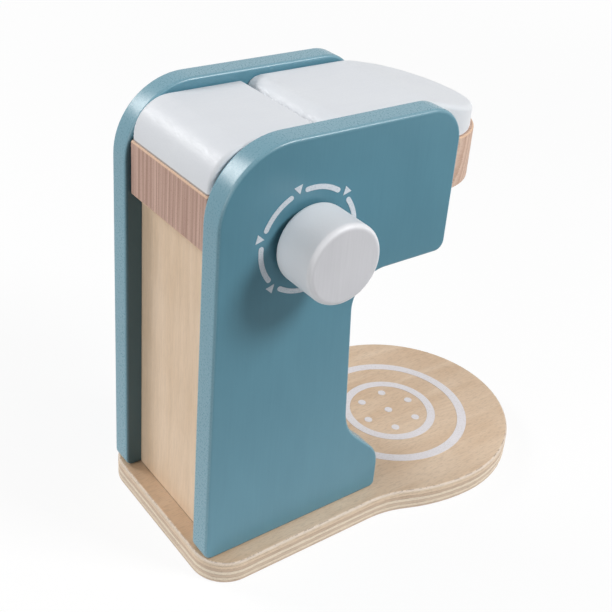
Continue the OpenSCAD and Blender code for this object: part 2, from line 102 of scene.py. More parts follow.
def linear(hex_colour: str) -> Colour:
    """Turns an sRGB hex colour into the linear values that a shader takes.

    Args:
        hex_colour: Six hex digits with a leading "#".

    Returns:
        Linear red, green and blue, and an alpha of 1.
    """
    channels = [int(hex_colour[i:i + 2], 16) / 255 for i in (1, 3, 5)]
    light = [c / SRGB_FOOT_SLOPE if c <= SRGB_FOOT_END
             else ((c + SRGB_OFFSET) / (1 + SRGB_OFFSET)) ** SRGB_POWER for c in channels]
    return light[0], light[1], light[2], 1.0


def add_node(tree: Tree, kind: str, inputs: Inputs | None = None, **settings: Any) -> bpy.types.Node:
    """Adds one node with its settings, its values and its links.

    Args:
        tree: The node tree that gets the node.
        kind: The node's type name.
        inputs: Values or output sockets by input name or number.
        **settings: Properties of the node.

    Returns:
        The new node.
    """
    made = tree.nodes.new(kind)
    for name, value in settings.items():
        setattr(made, name, value)
    for key, value in (inputs or {}).items():
        if isinstance(value, bpy.types.NodeSocket):
            tree.links.new(value, made.inputs[key])
        else:
            made.inputs[key].default_value = value
    return made


def calculate(tree: Tree, operation: str, *values: Socket | float) -> Socket:
    """Adds a Math node and gives its result.

    Args:
        tree: The node tree.
        operation: The node's operation.
        *values: Its inputs, in their order.

    Returns:
        The result.
    """
    return add_node(tree, "ShaderNodeMath", dict(enumerate(values)), operation=operation).outputs[0]


def remap(tree: Tree, value: Socket, source: Span, target: Span = (0.0, 1.0)) -> Socket:
    """Carries a value from one span to another and holds it at the ends.

    Args:
        tree: The node tree.
        value: The value to carry.
        source: Span that the value comes from.
        target: Span that it goes to.

    Returns:
        The carried value.
    """
    made = add_node(tree, "ShaderNodeMapRange",
                    {"Value": value, "From Min": source[0], "From Max": source[1],
                     "To Min": target[0], "To Max": target[1]})
    return made.outputs["Result"]


def ramp(tree: Tree, factor: Socket, stops: Stops, blending: str = "LINEAR") -> Socket:
    """Turns a value into a colour.

    Args:
        tree: The node tree.
        factor: The value, from 0 to 1.
        stops: Positions and hex colours.
        blending: How the ramp goes from one stop to the next.

    Returns:
        The colour.
    """
    made = add_node(tree, "ShaderNodeValToRGB", {"Fac": factor})
    made.color_ramp.interpolation = blending
    elements = made.color_ramp.elements
    while len(elements) < len(stops):
        elements.new(RAMP_MIDDLE)
    for element, (position, _) in zip(elements, stops):
        element.position = position
    for element, (_, hex_colour) in zip(elements, stops):
        element.color = linear(hex_colour)
    return made.outputs["Color"]


def bump(tree: Tree, height: Socket, depth_mm: float, extra: Inputs | None = None) -> Socket:
    """Gives a surface its fine relief.

    Args:
        tree: The node tree.
        height: The relief, about 0 to 1.
        depth_mm: Depth of the relief where it goes from 0 to 1.
        extra: Strength or Normal, where they aren't the plain ones.

    Returns:
        The bent normal.
    """
    made = add_node(tree, "ShaderNodeBump", {"Height": height, "Distance": depth_mm * MM} | (extra or {}))
    return made.outputs["Normal"]


def place_in_mm(tree: Tree) -> Socket:
    """Gives the place on the piece in millimetres of the part's frame, so it rides with the piece."""
    place = add_node(tree, "ShaderNodeTexCoord").outputs["Object"]
    scaled = add_node(tree, "ShaderNodeVectorMath", {0: place, "Scale": 1 / MM}, operation="SCALE")
    return scaled.outputs["Vector"]


def coordinate(tree: Tree, place: Socket, axis: Axis) -> Socket:
    """Gives one coordinate of a place."""
    return add_node(tree, "ShaderNodeSeparateXYZ", {"Vector": place}).outputs[axis.value]


def off_middle(tree: Tree, place: Socket) -> Socket:
    """Gives the distance from the toy's plane of symmetry."""
    return calculate(tree, "ABSOLUTE", coordinate(tree, place, Axis.X))


def facing(tree: Tree, axis: Axis) -> Socket:
    """Gives how squarely a surface faces along an axis: 1 on a face across it, 0 on its edges."""
    normal = add_node(tree, "ShaderNodeTexCoord").outputs["Normal"]
    return calculate(tree, "ABSOLUTE", coordinate(tree, normal, axis))


def window(tree: Tree, value: Socket, band: Band) -> Socket:
    """Gives 1 where a value lies in a band and fades to 0 outside it.

    Args:
        tree: The node tree.
        value: The value to test.
        band: Its limits, of which one at least isn't open, and the width of the fade.

    Returns:
        A mask from 0 to 1.
    """
    sides = []
    if band.low is not None:
        sides.append(remap(tree, value, (band.low - band.soft, band.low)))
    if band.high is not None:
        sides.append(remap(tree, value, (band.high, band.high + band.soft), (1.0, 0.0)))
    return product(tree, *sides)


def product(tree: Tree, first: Socket, *others: Socket) -> Socket:
    """Multiplies masks, so the result is 1 only where all of them are."""
    for other in others:
        first = calculate(tree, "MULTIPLY", first, other)
    return first


def blend(tree: Tree, amount: Socket, under: Socket | str, over: Socket | str,
          strength: float = 1.0) -> Socket:
    """Lays one colour over another.

    Args:
        tree: The node tree.
        amount: Mask from 0 to 1.
        under: Colour below, as a socket or in hex.
        over: Colour on top, as a socket or in hex.
        strength: Cover of the top colour where the mask is 1.

    Returns:
        The mixed colour.
    """
    under, over = (linear(colour) if isinstance(colour, str) else colour for colour in (under, over))
    mixed = add_node(tree, "ShaderNodeMix",
                     {MIX_FACTOR: calculate(tree, "MULTIPLY", amount, strength),
                      MIX_COLOUR_A: under, MIX_COLOUR_B: over}, data_type="RGBA")
    return mixed.outputs[MIX_COLOUR_OUT]


def new_material(name: str) -> tuple[bpy.types.Material, Tree]:
    """Makes a material without any node, and gives it with its node tree."""
    material = bpy.data.materials.new(name)
    material.use_nodes = True
    material.node_tree.nodes.clear()
    return material, material.node_tree


@dataclass(frozen=True)
class Patches:
    """Natural variation at one scale: the size of its patches and how they break up.

    The patches have one length along an axis and another across it. The offset shifts the pattern
    by whole patches, so two patterns of one material don't coincide.
    """

    along_mm: float
    across_mm: float
    detail: float = 3.0
    distortion: float = 0.0
    offset: Point = (0.0, 0.0, 0.0)

    def noise(self, tree: Tree, place: Socket, axis: Axis) -> Socket:
        """Adds the noise.

        Args:
            tree: The node tree.
            place: Coordinates in millimetres.
            axis: Direction of the patches' own length.

        Returns:
            The noise value, about 0.5 on average.
        """
        sizes = [self.across_mm] * 3
        sizes[axis.value] = self.along_mm
        squeezed = add_node(tree, "ShaderNodeVectorMath",
                            {0: place, 1: tuple(1 / size for size in sizes), 2: self.offset},
                            operation="MULTIPLY_ADD")
        made = add_node(tree, "ShaderNodeTexNoise",
                        {"Vector": squeezed.outputs["Vector"], "Scale": 1.0, "Detail": self.detail,
                         "Distortion": self.distortion})
        return made.outputs["Fac"]


class Finish(ABC):
    """The finish of a real material."""

    name: str

    @abstractmethod
    def surface(self, tree: Tree, place: Socket) -> Inputs:
        """Draws the surface.

        Args:
            tree: The node tree.
            place: Coordinates in millimetres.

        Returns:
            Values and links for the Principled shader.
        """

    def material(self) -> bpy.types.Material:
        """Builds the finish's material."""
        material, tree = new_material(self.name)
        inputs = {"IOR": COAT_IOR} | self.surface(tree, place_in_mm(tree))
        shader = add_node(tree, "ShaderNodeBsdfPrincipled", inputs)
        add_node(tree, "ShaderNodeOutputMaterial", {"Surface": shader.outputs["BSDF"]})
        return material


@dataclass(frozen=True)
class RecessShade:
    """Painted shade in a place that little light reaches: towards the middle, below a top and behind a
    front.
    """

    side_mm: float
    shade: str
    top_mm: float | None = None
    front_mm: float | None = None
    side_soft_mm: float = 0.5
    top_soft_mm: float = 3.0
    front_soft_mm: float = 2.0
    cover: float = 0.72

    def lay(self, tree: Tree, place: Socket, colour: Socket) -> Socket:
        """Paints shade into a colour in the recess.

        Args:
            tree: The node tree.
            place: Coordinates in millimetres.
            colour: The colour outside the recess.

        Returns:
            The colour with the painted shade of the recess.
        """
        masks = [window(tree, off_middle(tree, place), Band(self.side_soft_mm, high=self.side_mm))]
        if self.top_mm is not None:
            masks.append(window(tree, coordinate(tree, place, Axis.Z),
                                Band(self.top_soft_mm, high=self.top_mm)))
        if self.front_mm is not None:
            masks.append(window(tree, coordinate(tree, place, Axis.Y),
                                Band(self.front_soft_mm, low=self.front_mm)))
        return blend(tree, product(tree, *masks), colour, self.shade, self.cover)


@dataclass(frozen=True)
class ContactShade:
    """Painted contact shade: a dark, slightly ragged line along the foot of a piece, where it stands on
    the next one.
    """

    top_mm: float
    shade: str = "#35525d"
    ragged_mm: float = 1.6
    soft_mm: float = 0.5
    cover: float = 0.7

    def lay(self, tree: Tree, place: Socket, worn: Socket, colour: Socket) -> Socket:
        """Paints the line of contact shade.

        Args:
            tree: The node tree.
            place: Coordinates in millimetres.
            worn: Noise that breaks up the line's upper side.
            colour: The colour above the line.

        Returns:
            The colour with the line.
        """
        height = calculate(tree, "MULTIPLY_ADD", worn, -self.ragged_mm, coordinate(tree, place, Axis.Z))
        low = window(tree, height, Band(self.soft_mm, high=self.top_mm - self.ragged_mm / 2))
        return blend(tree, low, colour, self.shade, self.cover)


@dataclass(frozen=True)
class SatinEnamel(Finish):
    """Water-based satin enamel, sprayed on sanded wood in two coats.

    It gives an even colour with a soft, slightly grainy highlight: the wood's grain lifts below the
    coat and the spray leaves a fine orange peel. The arrises are painted lighter in patches, partly as
    wear where the coat is thin and partly as a painted highlight, and the edges that face sideways get
    a painted highlight of their own.
    """

    name: str
    colour: str
    thin: str
    # Lighter colour of the arrises and edges: partly worn coat, partly painted highlight
    arris: str
    grain: Axis
    roughness: float
    grain_depth_mm: float
    peel_depth_mm: float = 0.02
    shine_spread: float = 0.1
    arris_cover: float = 0.35
    edge_highlight_cover: float = 0.0
    # Painted shade: the darker recess, and the contact shade line at the foot
    recess: RecessShade | None = None
    seam: ContactShade | None = None

    # Wood below the coat: broad clouds of colour, fibres that lift it, and patches of worn edge.
    # The spray's peel lies over them
    CLOUDS: ClassVar[Patches] = Patches(60.0, 34.0, 4.0, 0.6)
    FIBRES: ClassVar[Patches] = Patches(26.0, 1.1, 3.0, 0.3)
    WORN: ClassVar[Patches] = Patches(6.0, 1.6, 3.0, 0.0, (3.0, 8.0, 1.0))
    PEEL: ClassVar[Patches] = Patches(0.8, 0.8, 2.0)

    # Share of the fibres in the colour, and the ends of its ramp
    FIBRE_TONE: ClassVar[float] = 0.35
    TONES: ClassVar[Span] = (0.45, 0.9)

    # How squarely the rounded arrises and the edges face sideways
    ARRIS: ClassVar[Band] = Band(0.12, 0.3, 0.85)
    EDGE: ClassVar[Band] = Band(0.15, high=0.8)

    # Noise that counts as worn and the cover it leaves; noise that counts as peel; peel on the faces
    WEAR: ClassVar[Span] = (0.35, 0.6)
    WEAR_COVER: ClassVar[Span] = (0.6, 1.0)
    PEEL_NOISE: ClassVar[Span] = (0.35, 0.65)
    FACE_PEEL: ClassVar[float] = 0.1

    def toned(self, tree: Tree, place: Socket, raised: Socket) -> Socket:
        """Gives the coat's colour with its clouds, its arrises with wear and painted highlight, its edges
        with painted highlight, and the painted shade of its recess and seam.

        Args:
            tree: The node tree.
            place: Coordinates in millimetres.
            raised: Height of the lifted grain.

        Returns:
            The colour.
        """
        cloud = self.CLOUDS.noise(tree, place, self.grain)
        tone = calculate(tree, "MULTIPLY_ADD", raised, self.FIBRE_TONE, cloud)
        body = ramp(tree, tone, list(zip(self.TONES, (self.thin, self.colour))))
        across = facing(tree, Axis.X)
        # Painted highlight: edges that face sideways are lightened towards the arris colour, as if they
        # caught more light
        edge_highlighted = blend(tree, window(tree, across, self.EDGE), body, self.arris, self.edge_highlight_cover)
        worn = self.WORN.noise(tree, place, self.grain)
        # Arrises lightened in worn patches: partly wear, partly painted highlight
        arris_wear_and_highlight = product(tree, window(tree, across, self.ARRIS),
                       remap(tree, worn, self.WEAR, self.WEAR_COVER))
        colour = blend(tree, arris_wear_and_highlight, edge_highlighted, self.arris, self.arris_cover)
        if self.recess:
            colour = self.recess.lay(tree, place, colour)
        if self.seam:
            colour = self.seam.lay(tree, place, worn, colour)
        return colour

    def surface(self, tree: Tree, place: Socket) -> Inputs:
        """Draws the coat.

        Args:
            tree: The node tree.
            place: Coordinates in millimetres.

        Returns:
            Values and links for the Principled shader.
        """
        raised = self.FIBRES.noise(tree, place, self.grain)
        peel = self.PEEL.noise(tree, place, self.grain)
        off_face = window(tree, facing(tree, Axis.X), self.EDGE)
        coarse = remap(tree, off_face, (0.0, 1.0), (self.FACE_PEEL, 1.0))
        sheen = remap(tree, peel, self.PEEL_NOISE, (-self.shine_spread, self.shine_spread))
        lifted = bump(tree, raised, self.grain_depth_mm)
        return {"Base Color": self.toned(tree, place, raised),
                "Roughness": calculate(tree, "MULTIPLY_ADD", sheen, coarse, self.roughness),
                "Normal": bump(tree, peel, self.peel_depth_mm, {"Strength": coarse, "Normal": lifted})}


@dataclass(frozen=True)
class BirchPlywood(Finish):
    """Rotary-cut birch plywood under one thin coat of matt lacquer.

    The faces give a pale, warm ground with fine streaks along the grain and soft cloudy figure. The
    edges show the crossed veneers with their thin glue lines, and a sanded arris with small nicks,
    painted lighter as partly sanded wood and partly a painted highlight. A foot line is painted
    contact shade where the sheet stands on the piece below, and the top is painted darker and browner
    towards the rear end, as painted shade of the panels.
    """

    name: str
    sheet: Axis
    grain: Axis
    cross: Axis
    low_face_mm: float
    thickness_mm: float
    pale: str = "#e3ccb3"
    warm: str = "#d5b99c"
    glue: str = "#8a6547"
    # Arris colour: partly sanded wood, partly painted highlight
    lip_sanding_and_highlight: str = "#e3d3c6"
    # Nicks and dashes, and the painted contact shade of the foot line
    nick_and_foot_shade: str = "#7b5f4a"
    # Painted shade of the rear top, darker and browner
    rear: str = "#c39a70"
    veneer_tones: tuple[str, ...] = ("#d3bba5", "#e8d8c2", "#d6c0a9", "#ecddc8", "#cfb69e", "#e2ccb2",
                                     "#e3d0b9")
    glue_half_mm: float = 0.09
    dash_cover: float = 0.14
    foot_shade_mm: float | None = None
    rear_shade_mm: float | None = None
    roughness: float = 0.55
    relief_mm: float = 0.03

    # Figure and clouds of the face; fibres of the lengthwise and crosswise veneers, and short dashes.
    # Real vessels are about 0.1 mm wide; these are drawn coarser, so that they show in the picture
    FIGURE: ClassVar[Patches] = Patches(95.0, 9.0, 4.0, 0.9)
    CLOUDS: ClassVar[Patches] = Patches(60.0, 26.0, 3.0, 0.5, (4.0, 1.0, 7.0))
    FIBRES: ClassVar[Patches] = Patches(11.0, 0.4, 3.0, 0.2)
    PORES: ClassVar[Patches] = Patches(5.0, 0.5, 3.0, 0.2)
    DASHES: ClassVar[Patches] = Patches(3.2, 0.55, 1.0, 0.3, (1.0, 6.0, 4.0))
    DASH: ClassVar[Band] = Band(0.08, low=0.62)
    CLOUD_TONE: ClassVar[float] = 0.5
    TONES: ClassVar[Span] = (0.52, 0.95)

    # Veneers that waver: size of the waves, their depth, and their mean, which is taken off again
    WAVES: ClassVar[Patches] = Patches(16.0, 16.0, 2.0)
    WAVE_DEPTH_MM: ClassVar[float] = 0.5
    WAVE_MEAN_MM: ClassVar[float] = 0.25

    # Where the glue shows between the veneers, and how much of it
    GAPS: ClassVar[Patches] = Patches(1.2, 9.0)
    GAP_NOISE: ClassVar[Span] = (0.42, 0.6)
    GLUE_COVER: ClassVar[float] = 0.75

    # How squarely the face, its arris and the outermost rim face along the sheet's thickness
    FACE: ClassVar[Band] = Band(0.1, low=0.97)
    ARRIS: ClassVar[Band] = Band(0.15, 0.35, 0.82)
    RIM: ClassVar[Band] = Band(0.05, 0.8, 0.93)
    ARRIS_COVER: ClassVar[float] = 0.6

    # Chips along the rim
    CHIPS: ClassVar[Patches] = Patches(2.6, 2.6, 3.0, 0.4, (9.0, 3.0, 2.0))
    CHIP: ClassVar[Band] = Band(0.03, low=0.55)
    CHIP_COVER: ClassVar[float] = 0.45

    # The painted shade of the rear end and of the foot line: widths of their fades and their covers
    REAR_SOFT_MM: ClassVar[float] = 12.0
    REAR_SHADE_COVER: ClassVar[float] = 0.3
    FOOT_SHADE_SOFT_MM: ClassVar[float] = 0.4
    FOOT_SHADE_COVER: ClassVar[float] = 0.75

    # Where a pair of veneers, one lengthwise and one crosswise, has its seam
    PAIR_MIDDLE: ClassVar[float] = 0.5

    # Noise of the fibres and the brightness that it gives
    FIBRE_NOISE: ClassVar[Span] = (0.3, 0.7)
    FIBRE_LIGHT: ClassVar[Span] = (0.93, 1.04)

    def veneer_stops(self, with_glue: bool) -> list[tuple[float, str]]:
        """Lists the tones of the veneers from the low face to the high one.

        Args:
            with_glue: Whether a glue line parts two veneers.

        Returns:
            Positions from 0 to 1 through the sheet, and hex colours.
        """
        half_line = self.glue_half_mm / self.thickness_mm
        stops = [(0.0, self.veneer_tones[0])]
        for index, tone in enumerate(self.veneer_tones[1:], start=1):
            seam = index / len(self.veneer_tones)
            if with_glue:
                stops.append((seam - half_line, self.glue))
            stops.append((seam + half_line, tone))
        return stops

    def level(self, tree: Tree, place: Socket) -> Socket:
        """Gives the place through the sheet, from 0 to 1, with veneers that waver a little."""
        wave = self.WAVES.noise(tree, place, self.sheet)
        depth = calculate(tree, "MULTIPLY_ADD", wave, self.WAVE_DEPTH_MM,
                          coordinate(tree, place, self.sheet))
        low = self.low_face_mm + self.WAVE_MEAN_MM
        return remap(tree, depth, (low, low + self.thickness_mm))

    def edge_colour(self, tree: Tree, place: Socket, level: Socket) -> Socket:
        """Gives the colour of the sawn edge: the veneers and, in places, the glue between them.

        Args:
            tree: The node tree.
            place: Coordinates in millimetres.
            level: Place through the sheet, from 0 to 1.

        Returns:
            The colour.
        """
        plain, glued = (ramp(tree, level, self.veneer_stops(with_glue), "CONSTANT")
                        for with_glue in (False, True))
        open_gaps = remap(tree, self.GAPS.noise(tree, place, Axis.Z), self.GAP_NOISE)
        return blend(tree, open_gaps, plain, glued, self.GLUE_COVER)

    def fibres(self, tree: Tree, place: Socket, level: Socket) -> Socket:
        """Gives the fibres, which lie crosswise in every other veneer.

        Args:
            tree: The node tree.
            place: Coordinates in millimetres.
            level: Place through the sheet, from 0 to 1.

        Returns:
            The noise of the fibres.
        """
        pairs = calculate(tree, "MULTIPLY", level, len(self.veneer_tones) / 2)
        crossed = calculate(tree, "GREATER_THAN", calculate(tree, "FRACT", pairs), self.PAIR_MIDDLE)
        mixed = add_node(tree, "ShaderNodeMix",
                         {MIX_FACTOR: crossed, MIX_FLOAT_A: self.FIBRES.noise(tree, place, self.grain),
                          MIX_FLOAT_B: self.PORES.noise(tree, place, self.cross)}, data_type="FLOAT")
        return mixed.outputs[MIX_FLOAT_OUT]

    def ground(self, tree: Tree, place: Socket) -> Socket:
        """Gives the colour of the face with its figure and clouds."""
        drawn = calculate(tree, "MULTIPLY_ADD", self.CLOUDS.noise(tree, place, self.cross),
                          self.CLOUD_TONE, self.FIGURE.noise(tree, place, self.grain))
        return ramp(tree, drawn, list(zip(self.TONES, (self.warm, self.pale))))

    def surface(self, tree: Tree, place: Socket) -> Inputs:
        """Draws the sheet's faces, edges and arrises.

        Args:
            tree: The node tree.
            place: Coordinates in millimetres.

        Returns:
            Values and links for the Principled shader.
        """
        level = self.level(tree, place)
        fibres = self.fibres(tree, place, level)
        square = facing(tree, self.sheet)
        on_face = window(tree, square, self.FACE)
        colour = blend(tree, on_face, self.edge_colour(tree, place, level), self.ground(tree, place))
        # The arris is painted lighter: partly sanded wood, partly a painted highlight
        colour = blend(tree, window(tree, square, self.ARRIS), colour, self.lip_sanding_and_highlight, self.ARRIS_COVER)
        chipped = product(tree, window(tree, self.CHIPS.noise(tree, place, self.sheet), self.CHIP),
                          window(tree, square, self.RIM))
        colour = blend(tree, chipped, colour, self.nick_and_foot_shade, self.CHIP_COVER)
        # Painted shade: the top darkens and browns towards the rear, where the panels shade it
        if self.rear_shade_mm is not None:
            behind = window(tree, coordinate(tree, place, Axis.Y), Band(self.REAR_SOFT_MM, self.rear_shade_mm))
            colour = blend(tree, product(tree, behind, on_face), colour, self.rear, self.REAR_SHADE_COVER)
        # Painted contact shade along the foot, where the sheet stands on the piece below
        if self.foot_shade_mm is not None:
            foot_shade = window(tree, coordinate(tree, place, Axis.Z),
                           Band(self.FOOT_SHADE_SOFT_MM, high=self.foot_shade_mm))
            colour = blend(tree, foot_shade, colour, self.nick_and_foot_shade, self.FOOT_SHADE_COVER)
        dashed = window(tree, self.DASHES.noise(tree, place, self.grain), self.DASH)
        colour = blend(tree, dashed, colour, self.nick_and_foot_shade, self.dash_cover)
        grained = add_node(tree, "ShaderNodeVectorMath",
                           {0: colour, "Scale": remap(tree, fibres, self.FIBRE_NOISE, self.FIBRE_LIGHT)},
                           operation="SCALE")
        return {"Base Color": grained.outputs["Vector"], "Roughness": self.roughness,
                "Normal": bump(tree, fibres, self.relief_mm)}


@dataclass(frozen=True)
class SteamedBeech(Finish):
    """Steamed beech, planed and sanded, left bare.

    Steaming turns it pinkish brown. The growth rings give close stripes on the darker end grain and
    long lines on the paler faces, and the rays give short dark flecks. Where the wood meets the
    panels beside it, from side_mm outwards, its rear end gets a painted shade line for the gap. Its
    upward arrises are painted lighter, partly sanded wood and partly a painted highlight.
    """

    name: str
    grain: Axis
    pith_mm: Point
    side_mm: float | None = None
    rear_end_mm: float = 60.0
    early: str = "#dcc0ad"
    late: str = "#c39f8a"
    end_early: str = "#d2b1a2"
    end_late: str = "#a27f70"
    fleck: str = "#8f6a55"
    arris: str = "#ecc7a6"
    gap: str = "#43332b"
    ring_mm: float = 1.6
    roughness: float = 0.6
    relief_mm: float = 0.03

    # The rings' wander, the fibres, the flecks of the rays, and the stripes of the end grain. The
    # fibres are drawn coarser than the real 0.1 mm, so that they show in the picture
    WANDER: ClassVar[Patches] = Patches(90.0, 11.0, 2.0)
    FIBRES: ClassVar[Patches] = Patches(7.0, 0.4)
    FLECKS: ClassVar[Patches] = Patches(2.4, 0.5, 1.0, 0.0, (5.0, 2.0, 9.0))
    STRIPES: ClassVar[Patches] = Patches(1.7, 90.0, 1.5, 0.0, (2.0, 5.0, 3.0))

    # Share of the fibres in the relief, of the relief in the colour, and of that in the stripes
    FIBRE_SHARE: ClassVar[float] = 0.8
    RELIEF_SHARE: ClassVar[float] = 0.55
    RING_SHARE: ClassVar[float] = 0.1

    # Ends of the colour ramps on the faces, from early wood to late and back, and on the end grain
    FACE_TONES: ClassVar[Point] = (0.2, 0.62, 0.72)
    END_TONES: ClassVar[Span] = (0.32, 0.76)

    # How squarely the end grain and the upper arrises face along the grain and upwards
    END: ClassVar[Band] = Band(0.3, low=0.95)
    ARRIS: ClassVar[Band] = Band(0.12, 0.25, 0.85)
    ARRIS_COVER: ClassVar[float] = 0.7
    FLECK: ClassVar[Band] = Band(0.05, low=0.69)
    FLECK_COVER: ClassVar[float] = 0.5

    # The painted shade line of the gap: widths of its fades and its cover
    SIDE_SOFT_MM: ClassVar[float] = 0.3
    REAR_SOFT_MM: ClassVar[float] = 2.0
    GAP_SHADE_COVER: ClassVar[float] = 0.85

    def relief(self, tree: Tree, place: Socket) -> Socket:
        """Gives the rings about the pith, softened by the fibres.

        Args:
            tree: The node tree.
            place: Coordinates in millimetres.

        Returns:
            The height, which climbs through each ring and drops at its end.
        """
        flat = [1.0, 1.0, 1.0]
        flat[self.grain.value] = 0.0
        from_pith = add_node(tree, "ShaderNodeVectorMath", {0: place, 1: self.pith_mm},
                             operation="SUBTRACT").outputs["Vector"]
        radial = add_node(tree, "ShaderNodeVectorMath", {0: from_pith, 1: tuple(flat)},
                          operation="MULTIPLY").outputs["Vector"]
        radius = add_node(tree, "ShaderNodeVectorMath", {0: radial}, operation="LENGTH").outputs["Value"]
        rings = calculate(tree, "MULTIPLY_ADD", radius, 1 / self.ring_mm,
                          self.WANDER.noise(tree, place, self.grain))
        return calculate(tree, "MULTIPLY_ADD", self.FIBRES.noise(tree, place, self.grain),
                         self.FIBRE_SHARE, calculate(tree, "FRACT", rings))

    def surface(self, tree: Tree, place: Socket) -> Inputs:
        """Draws the wood's faces, end grain and arrises.

        Args:
            tree: The node tree.
            place: Coordinates in millimetres.

        Returns:
            Values and links for the Principled shader.
        """
        relief = self.relief(tree, place)
        season = calculate(tree, "MULTIPLY", relief, self.RELIEF_SHARE)
        striped = calculate(tree, "MULTIPLY_ADD", season, self.RING_SHARE,
                            self.STRIPES.noise(tree, place, Axis.X))
        side = ramp(tree, season, list(zip(self.FACE_TONES, (self.early, self.late, self.early))))
        end = ramp(tree, striped, list(zip(self.END_TONES, (self.end_late, self.end_early))))
        colour = blend(tree, window(tree, facing(tree, self.grain), self.END), side, end)
        # Upward arrises painted lighter: partly sanded wood, partly a painted highlight of the light from
        # above
        upward = window(tree, facing(tree, Axis.Z), self.ARRIS)
        colour = blend(tree, upward, colour, self.arris, self.ARRIS_COVER)
        flecked = window(tree, self.FLECKS.noise(tree, place, self.grain), self.FLECK)
        colour = blend(tree, flecked, colour, self.fleck, self.FLECK_COVER)
        # Painted shade: a dark line on the rear end beside the panels, where the gap lies in shade
        if self.side_mm is not None:
            beside = window(tree, off_middle(tree, place), Band(self.SIDE_SOFT_MM, low=self.side_mm))
            rearward = window(tree, coordinate(tree, place, Axis.Y),
                              Band(self.REAR_SOFT_MM, low=self.rear_end_mm))
            colour = blend(tree, product(tree, beside, rearward), colour, self.gap, self.GAP_SHADE_COVER)
        return {"Base Color": colour, "Roughness": self.roughness,
                "Normal": bump(tree, relief, self.relief_mm)}


@dataclass(frozen=True)
class PrintedInk(Finish):
    """Opaque pad-printing ink, matt, in a thin film.

    It gives a flat off-white mark with slightly ragged cover where the wood or paint shows through.
    """

    name: str
    colour: str
    worn: str
    roughness: float = 0.6
    relief_mm: float = 0.01

    GRIT: ClassVar[Patches] = Patches(0.5, 0.5)
    TONES: ClassVar[Span] = (0.3, 0.5)

    def surface(self, tree: Tree, place: Socket) -> Inputs:
        """Draws the film; see Finish.surface."""
        cover = self.GRIT.noise(tree, place, Axis.Z)
        return {"Base Color": ramp(tree, cover, list(zip(self.TONES, (self.worn, self.colour)))),
                "Roughness": self.roughness, "Normal": bump(tree, cover, self.relief_mm)}


@dataclass(frozen=True)
class WoolFelt(Finish):
    """Dense pressed wool felt: a dull, fuzzy grey disc with loose fibres."""

    name: str
    dark: str = "#3c3c3e"
    light: str = "#66666a"
    roughness: float = 0.95
    fuzz: float = 0.5
    relief_mm: float = 0.15

    # Tufts of fibres: a single one is about 0.03 mm wide, too fine to show
    FIBRES: ClassVar[Patches] = Patches(0.3, 0.3, 4.0, 1.5)
    TONES: ClassVar[Span] = (0.35, 0.65)

    def surface(self, tree: Tree, place: Socket) -> Inputs:
        """Draws the felt; see Finish.surface."""
        fibres = self.FIBRES.noise(tree, place, Axis.Z)
        return {"Base Color": ramp(tree, fibres, list(zip(self.TONES, (self.dark, self.light)))),
                "Roughness": self.roughness, "Sheen Weight": self.fuzz,
                "Normal": bump(tree, fibres, self.relief_mm)}


@dataclass(frozen=True)
class ZincPlatedSteel(Finish):
    """Zinc-plated steel, cold formed: a bluish grey metal with fine drawing lines."""

    name: str
    dark: str = "#9a9ea4"
    light: str = "#c3c7cc"
    roughness: float = 0.35
    relief_mm: float = 0.01

    # Bundles of drawing lines: a single one is too fine to show
    LINES: ClassVar[Patches] = Patches(6.0, 0.2, 2.0)
    TONES: ClassVar[Span] = (0.3, 0.7)

    def surface(self, tree: Tree, place: Socket) -> Inputs:
        """Draws the metal; see Finish.surface."""
        lines = self.LINES.noise(tree, place, Axis.Z)
        return {"Base Color": ramp(tree, lines, list(zip(self.TONES, (self.dark, self.light)))),
                "Metallic": 1.0, "Roughness": self.roughness,
                "Normal": bump(tree, lines, self.relief_mm)}


def rounded_shading() -> Tree:
    """Builds the geometry nodes that shade the facets of a rounding as one curve.

    Returns:
        A node group that joins coincident points and keeps only the real corners sharp.
    """
    group = bpy.data.node_groups.new(ROUNDED, "GeometryNodeTree")
    for way in ("INPUT", "OUTPUT"):
        group.interface.new_socket("Geometry", in_out=way, socket_type="NodeSocketGeometry")
    entry = add_node(group, "NodeGroupInput")
    joined = add_node(group, "GeometryNodeMergeByDistance",
                      {"Geometry": entry.outputs[0], "Distance": JOIN_MM * MM})
    plain = add_node(group, "GeometryNodeRemoveAttribute",
                     {"Geometry": joined.outputs[0], "Name": "custom_normal"})
    smooth = add_node(group, "GeometryNodeSetShadeSmooth",
                      {"Geometry": plain.outputs[0], "Shade Smooth": True}, domain="FACE")
    angle = add_node(group, "GeometryNodeInputMeshEdgeAngle")
    gentle = add_node(group, "FunctionNodeCompare",
                      {"A": angle.outputs["Unsigned Angle"], "B": math.radians(CORNER_DEG)},
                      data_type="FLOAT", operation="LESS_THAN")
    creased = add_node(group, "GeometryNodeSetShadeSmooth",
                       {"Geometry": smooth.outputs[0], "Shade Smooth": gentle.outputs[0]}, domain="EDGE")
    add_node(group, "NodeGroupOutput", {0: creased.outputs[0]})
    return group


def dress(node: str, material: bpy.types.Material) -> None:
    """Gives a carried-over solid its finish and even shading.

    Args:
        node: The solid's name in the frame.
        material: Its finish.
    """
    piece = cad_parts[node]
    piece.data.materials.clear()
    piece.data.materials.append(material)
    rounding = piece.modifiers.new(ROUNDED, "NODES")
    rounding.node_group = bpy.data.node_groups.get(ROUNDED) or rounded_shading()
    shade = piece.modifiers.new("even_normals", "WEIGHTED_NORMAL")
    shade.mode = "FACE_AREA"
    shade.keep_sharp = True
    LOG.info("dressed %s with %s", node, material.name)


